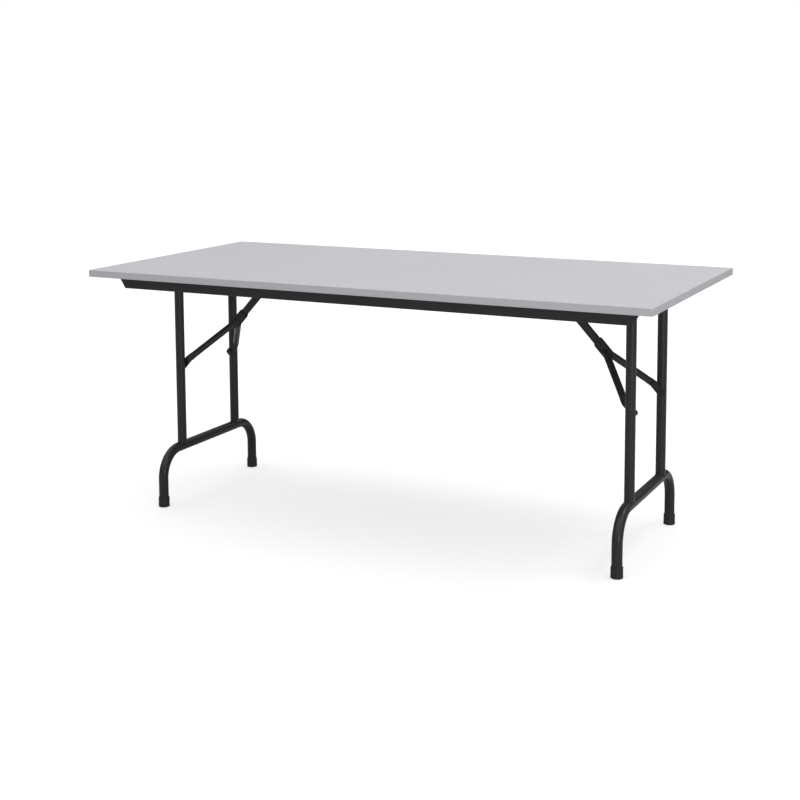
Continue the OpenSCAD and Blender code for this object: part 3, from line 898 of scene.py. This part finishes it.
def on_brace(points, end_sign):
    """Turns points drawn with x along the brace and z towards the hinge to their place at one end."""
    x, y, z = np.moveaxis(points, -1, 0)
    out = LEG_X - x * math.cos(BRACE_TILT) + z * math.sin(BRACE_TILT)
    rise = BOLT_Z + x * math.sin(BRACE_TILT) + z * math.cos(BRACE_TILT)
    return np.stack([end_sign * out, y, rise], -1)


print("arms turn", round(math.degrees(ARM_TURN), 1), "degrees from the uprights to the channel")

# %% Arms
ARM_SIDES = 40
TAIL_STEPS = 7
TAIL_R = 7 * MM
NECK_STEPS = 17
FLAT_POWER = 7.0
ROUND_POWER = 2.0


def smooth_step(t):
    """3t^2 - 2t^3: rises from 0 to 1 with level ends."""
    t = np.clip(t, 0, 1)
    return t * t * (3 - 2 * t)


def superellipse(half_wide, half_thick, power, count):
    """Points (thick, wide) with |cos a|^(2/power) and |sin a|^(2/power), signed, for each section."""
    angle = np.arange(count) * 2 * np.pi / count
    cos, sin = np.cos(angle), np.sin(angle)
    root = 2 / power[:, None]
    thick = half_thick[:, None] * np.sign(cos) * np.abs(cos) ** root
    wide = half_wide[:, None] * np.sign(sin) * np.abs(sin) ** root
    return np.stack([thick, wide], -1)


def arm(side_sign):
    """The arm in brace coordinates: rings along x on the flat, then along the slant to the cheek."""
    tail = np.linspace(0, np.pi / 2, TAIL_STEPS)
    flat_x = np.concatenate([-FLAT_TAIL + TAIL_R * (1 - np.cos(tail)), [FLAT_RUN * 0.5]])
    flat_wide = np.concatenate([FLAT_W / 2 - TAIL_R * (1 - np.sin(tail)), [FLAT_W / 2]])
    along = np.linspace(0, NECK, NECK_STEPS)
    share = smooth_step(along / NECK)
    bend = np.array([math.cos(ARM_TURN), -math.sin(ARM_TURN)])
    elbow = np.array([FLAT_RUN, FLAT_Y])
    slant = elbow + along[:, None] * bend
    reach = (FLAT_Y - CHEEK_Y) / math.sin(ARM_TURN)
    last = elbow + reach * bend
    flat = np.stack([flat_x, np.full_like(flat_x, FLAT_Y)], -1)
    path = np.concatenate([flat, slant, last[None]])
    half_wide = np.concatenate([flat_wide, FLAT_W / 2 + share * (ARM_R - FLAT_W / 2), [ARM_R]])
    half_thick = np.concatenate([
        np.full(len(flat_x), FLAT_T / 2), FLAT_T / 2 + share * (ARM_R - FLAT_T / 2), [ARM_R],
    ])
    neck_power = FLAT_POWER - (FLAT_POWER - ROUND_POWER) * share ** 0.5
    power = np.concatenate([np.full(len(flat_x), FLAT_POWER), neck_power, [ROUND_POWER]])
    neck_turn = ARM_TURN * smooth_step(along / NECK * 2)
    turned = np.concatenate([np.zeros(len(flat_x)), neck_turn, [ARM_TURN]])
    across = np.stack([np.sin(turned), np.cos(turned), np.zeros_like(turned)], -1)
    centres = np.concatenate([path, np.zeros((len(path), 1))], 1)
    section = superellipse(half_wide, half_thick, power, ARM_SIDES)
    rings = carried(section, centres, across, np.array([0, 0, 1.0]))
    slide = (rings[-1, :, 1] - CHEEK_Y) / math.sin(ARM_TURN)
    rings[-1, :, :2] += slide[:, None] * bend
    closing = [np.broadcast_to(rings[end].mean(0), (1, ARM_SIDES, 3)) for end in (0, -1)]
    rings = np.concatenate([closing[0], rings, closing[1]])
    return rings * np.array([1, side_sign, 1])


def arm_bead(side_sign):
    """A slanted tube meets the flat cheek in an ellipse, longer along x by 1 / sin of the slant."""
    middle = FLAT_RUN + (FLAT_Y - CHEEK_Y) / math.tan(ARM_TURN)
    long_r = ARM_R / math.sin(ARM_TURN)
    puddles = round(np.pi * (long_r + ARM_R) / PUDDLE)
    spokes = circle(1, puddles * POINTS_PER_PUDDLE)
    flat = np.zeros(len(spokes))
    centres = np.stack([middle + long_r * spokes[:, 0], flat + CHEEK_Y, ARM_R * spokes[:, 1]], -1)
    outward = np.stack([spokes[:, 0] / long_r, flat, spokes[:, 1] / ARM_R], -1)
    outward /= np.linalg.norm(outward, axis=1, keepdims=True)
    bead = weld_bead(centres, outward, np.array([0, 1.0, 0]), puddles)
    return bead * np.array([1, side_sign, 1])


for end, sign in ENDS.items():
    for side, way in SIDES.items():
        hammered = mesh_of(f"{end}_{side}_hammered_arm", [on_brace(arm(way), sign)])
        add_piece(hammered, f"{end}_yoke", "black_steel", f"{end}_{side}_brace_arm")
        bead = mesh_of(f"{end}_{side}_channel_weld", [on_brace(arm_bead(way), sign)], wrap_rows=True)
        add_piece(bead, f"{end}_yoke", "black_steel")
print("an arm has", len(hammered.polygons), "faces")

# %% [markdown]
# ## Bolts, nuts and rivets
# The brace turns on bolts through the uprights, each with a locking nut on the arm's flat end,
# and on riveted pins at the knee and the top bracket. A saddle washer lets a flat bolt head sit
# on a round tube, so its lower edge follows the tube. A nut is a hexagon cut back by a cone,
# which leaves the curved corners a real nut has.

# %% Fasteners
BOLT_R = 3 * MM
HEAD_R = 6 * MM
HEAD_T = 4 * MM
WASHER_T = 0.9 * MM
CROWN_R = 5.2 * MM
CROWN_FOOT = 1.2 * MM
CROWN_POWER = 0.7
SOCKET_R = 2.3 * MM
SOCKET_DEEP = 1.8 * MM
SOCKET_POINT = 2.2 * MM
SHANK_SHORT = 2 * MM
NUT_HEIGHTS = np.array([0, 0.25, 0.6, 1.0, 3.4, 3.8, 4.1, 4.3]) * MM
NUT_CONE = np.array([5.0, 5.35, 5.7, 6.2, 6.2, 5.7, 5.3, 4.9]) * MM
COLLAR = np.array([(4.7, 4.3), (4.7, 5.6), (3.3, 5.6), (3.2, 4.8)]) * MM
COLLAR_EASES = np.array([0, 0.5, 0.3, 0]) * MM
BOLT_TIP = np.array([(3, 4.8), (3, 5.5), (2.4, 6), (0, 6)]) * MM
PIN_R = 4 * MM
RIVET_R = 8 * MM
RIVET_T = 3 * MM
RIVET_POWER = 0.4
FASTENER_SIDES = 48


def hexagon(corner_r, count):
    """Distance from the middle to a hexagon's side, in each of count directions round it."""
    angle = np.arange(count) * 2 * np.pi / count
    from_flat = (angle % (np.pi / 3)) - np.pi / 6
    return corner_r * math.cos(math.pi / 6) / np.cos(from_flat)


def bolt(x, way):
    """Washer, crown and hexagon socket; the lowest ring drops onto the tube's round surface.

    The crown's radius is CROWN_R cos(a)^CROWN_POWER where it has risen by sin(a) of its height.
    """
    dome = np.linspace(0, np.pi / 2, 8)[:-1]
    rim = [(HEAD_R, 0), (HEAD_R, WASHER_T), (CROWN_R, WASHER_T + 0.1 * MM)]
    crown_r = CROWN_R * np.cos(dome) ** CROWN_POWER
    crown_z = CROWN_FOOT + (HEAD_T - CROWN_FOOT) * np.sin(dome)
    head = np.stack([crown_r, crown_z], -1)[crown_r > SOCKET_R * 1.15]
    lip = head[-1, 1]
    socket = [(SOCKET_R, lip), (SOCKET_R, lip - SOCKET_DEEP), (0, lip - SOCKET_POINT)]
    profile = np.concatenate([eased(rim, [0, 0.3 * MM, 0]), head, socket])
    base = np.array([x, way * (UPRIGHT_Y + UPRIGHT_R), BOLT_Z])
    points = spun(profile, FASTENER_SIDES, base, (0, way, 0))
    six = hexagon(SOCKET_R, FASTENER_SIDES) / SOCKET_R
    points[-3:-1, :, ::2] = base[::2] + (points[-3:-1, :, ::2] - base[::2]) * six[:, None]
    drop = UPRIGHT_R - np.sqrt(UPRIGHT_R ** 2 - (points[0, :, 0] - x) ** 2)
    points[0, :, 1] -= way * drop
    inner = np.array([x, way * (UPRIGHT_Y - UPRIGHT_R), BOLT_Z])
    shank_profile = [(BOLT_R, 2 * UPRIGHT_R - SHANK_SHORT), (BOLT_R, 0), (0, 0)]
    shank = spun(shank_profile, FASTENER_SIDES, inner, (0, way, 0))
    return np.concatenate([shank[::-1], points])


def lock_nut(end_sign, way):
    """Hexagon under a cone at both faces, a round collar, and the bolt's end in its hole."""
    ring = np.minimum(NUT_CONE[:, None], hexagon(HEAD_R, FASTENER_SIDES))
    turned = np.concatenate([eased(COLLAR, COLLAR_EASES), BOLT_TIP])
    radius = np.concatenate([ring, np.broadcast_to(turned[:, :1], (len(turned), FASTENER_SIDES))])
    height = np.concatenate([NUT_HEIGHTS, turned[:, 1]])
    spokes = circle(1, FASTENER_SIDES)
    points = np.empty((*radius.shape, 3))
    points[..., 0] = radius * spokes[:, 0]
    points[..., 1] = way * (FLAT_Y - FLAT_T / 2 - height[:, None])
    points[..., 2] = radius * spokes[:, 1]
    stub_profile = [(0, -FLAT_T), (BOLT_R, -FLAT_T), (BOLT_R, 0)]
    stub = spun(stub_profile, FASTENER_SIDES, (0, 0, 0), (0, 1, 0))
    stub[..., 1] = way * (FLAT_Y - FLAT_T / 2 - stub[..., 1])
    return on_brace(np.concatenate([stub, points]), end_sign)


def riveted_pin(x, z, grip):
    """A shank between two domes; a dome's height is RIVET_T (1 - (r/R)^2) ^ RIVET_POWER."""
    radius = RIVET_R * np.sin(np.linspace(np.pi / 2, 0, 10))
    height = RIVET_T * (1 - (radius / RIVET_R) ** 2) ** RIVET_POWER
    dome = np.stack([radius, grip / 2 + height], -1)
    half = np.concatenate([[(PIN_R, 0), (PIN_R, grip / 2)], dome])
    lower = half[::-1] * np.array([1, -1])
    return spun(np.concatenate([lower, half[1:]]), FASTENER_SIDES, (x, 0, z), (0, 1, 0))


knee = on_brace(np.array([YOKE_L, 0, 0]), 1)
PIN_GRIP, KNEE_GRIP = pin_size[1] - 2 * RIVET_T, 2 * CHEEK_Y
for end, sign in ENDS.items():
    bolts = mesh_of(f"{end}_saddle_bolts", [bolt(sign * LEG_X, way) for way in (-1, 1)])
    add_piece(bolts, f"{end}_leg", "blackened_steel", f"{end}_brace_bolts")
    nuts = mesh_of(f"{end}_lock_nuts", [lock_nut(sign, way) for way in (-1, 1)])
    add_piece(nuts, f"{end}_yoke", "blackened_steel", f"{end}_brace_nuts")
    pin = mesh_of(f"{end}_domed_strut_pin", [riveted_pin(sign * PIN_X, HINGE_Z, PIN_GRIP)])
    add_piece(pin, BODY_OF[f"{end}_strut_pin"], "blackened_steel", f"{end}_strut_pin")
    rivet = mesh_of(f"{end}_domed_knee_rivet", [riveted_pin(sign * knee[0], knee[2], KNEE_GRIP)])
    add_piece(rivet, BODY_OF[f"{end}_knee_rivet"], "blackened_steel", f"{end}_knee_rivet")
print("knee rivets at x", round(knee[0] / MM, 1), "mm, z", round(knee[2] / MM, 1), "mm")

# %% [markdown]
# ## Wood screws
# Pan heads with a cross recess hold the aprons and brackets. The head is a dome given as a height
# over a round grid, and the recess is cut by lowering the points that lie near either axis.

# %% Screws
SCREW_HEAD_R = 4.5 * MM
SCREW_HEAD_T = 2.5 * MM
SCREW_SHANK_R = 2.2 * MM
CROSS_R = 2.6 * MM
CROSS_HALF = 0.55 * MM
CROSS_EDGE = CROSS_HALF * 1.4
CROSS_WALL = CROSS_HALF * 0.6
CROSS_FADE = CROSS_R * 0.3
CROSS_DEEP = 1.5 * MM
SCREW_POINT = 3 * MM
SCREW_SIDES = 48


def screw_grid(shank):
    """Height over (r, a): SCREW_HEAD_T sqrt(1 - (r / R)^4), less a cross that fades at CROSS_R."""
    recess, rim = np.linspace(0, CROSS_R, 7), np.linspace(CROSS_R, SCREW_HEAD_R, 8)[1:]
    radius = np.concatenate([recess, rim])
    flat = radius[:, None, None] * circle(1, SCREW_SIDES)
    dome = SCREW_HEAD_T * (1 - (radius / SCREW_HEAD_R) ** 4) ** 0.5
    near_axis = np.abs(flat).min(-1)
    arms = smooth_step((CROSS_EDGE - near_axis) / CROSS_WALL)
    inside = smooth_step((CROSS_R - radius) / CROSS_FADE)[:, None]
    height = dome[:, None] - CROSS_DEEP * arms * inside
    head = np.concatenate([flat, -height[..., None]], -1)
    rings = np.array([(SCREW_SHANK_R, 0), (SCREW_SHANK_R, shank - SCREW_POINT), (0, shank)])
    return np.concatenate([head, spun(rings, SCREW_SIDES, (0, 0, 0), (0, 0, 1))])


def screws(name, node):
    """One screw for every shank end of the CAD node, in the middle of that end's points."""
    data = frame["nodes"][node].data
    points = np.empty(3 * len(data.vertices), np.float32)
    data.vertices.foreach_get("co", points)
    points = points.reshape(-1, 3).astype(float)
    low, high = points[:, 2].min(), points[:, 2].max()
    spots = np.unique(np.round(points[points[:, 2] > high - MM, :2], 4), axis=0)
    apart = np.linalg.norm(spots[:, None] - spots[None], axis=-1)
    same = (apart < 3 * SCREW_SHANK_R)[..., None]
    least = np.where(same, spots[None], np.inf).min(1)
    most = np.where(same, spots[None], -np.inf).max(1)
    places = np.unique(np.round((least + most) / 2, 6), axis=0)
    seat = low + SCREW_HEAD_T
    grid = screw_grid(high - seat)
    return mesh_of(name, [grid + (*place, seat) for place in places]), len(places)


for group in ("apron_screws", "pivot_bracket_screws", "strut_bracket_screws"):
    mesh, count = screws(f"cross_head_{group}", group)
    add_piece(mesh, "table", "zinc_steel", group)
    print(group, count, "screws,", len(mesh.polygons), "faces")

# %% [markdown]
# ## Pressed steel
# Brackets, channels and struts are cut and folded from sheet, and their CAD shapes are right
# except that every edge is perfectly sharp. Each gets a copy: its loose triangles are merged, its
# flats joined into single faces, and a bevel rounds every edge as pressing and powder do.

# %% Softened copies
EDGE_EASE = 0.5 * MM
FLAT_WITHIN = math.radians(0.5)


def softened(node, body):
    """A copy of the CAD solid, merged into whole faces, with a live bevel along its sharp edges."""
    mesh = frame["nodes"][node].data.copy()
    mesh.name = f"{node}_pressed"
    work = bmesh.new()
    work.from_mesh(mesh)
    bmesh.ops.remove_doubles(work, verts=work.verts, dist=MERGE_WITHIN)
    bmesh.ops.dissolve_limit(work, angle_limit=FLAT_WITHIN, verts=work.verts, edges=work.edges)
    work.to_mesh(mesh)
    work.free()
    shade(mesh)
    piece = add_piece(mesh, body, "black_steel", node)
    bevel = piece.modifiers.new("pressed_edges", "BEVEL")
    bevel.width = EDGE_EASE
    bevel.segments = 2
    bevel.limit_method = "ANGLE"
    bevel.angle_limit = SHARP_FROM
    bevel.harden_normals = True
    return piece


PRESSED_KINDS = ("pivot_bracket", "strut_bracket", "knee_channel", "strut")
PRESSED = [node for node in frame["nodes"] if node.endswith(PRESSED_KINDS)]
for node in PRESSED:
    softened(node, BODY_OF[node])
print(len(PRESSED), "pressed pieces softened by", EDGE_EASE / MM, "mm")
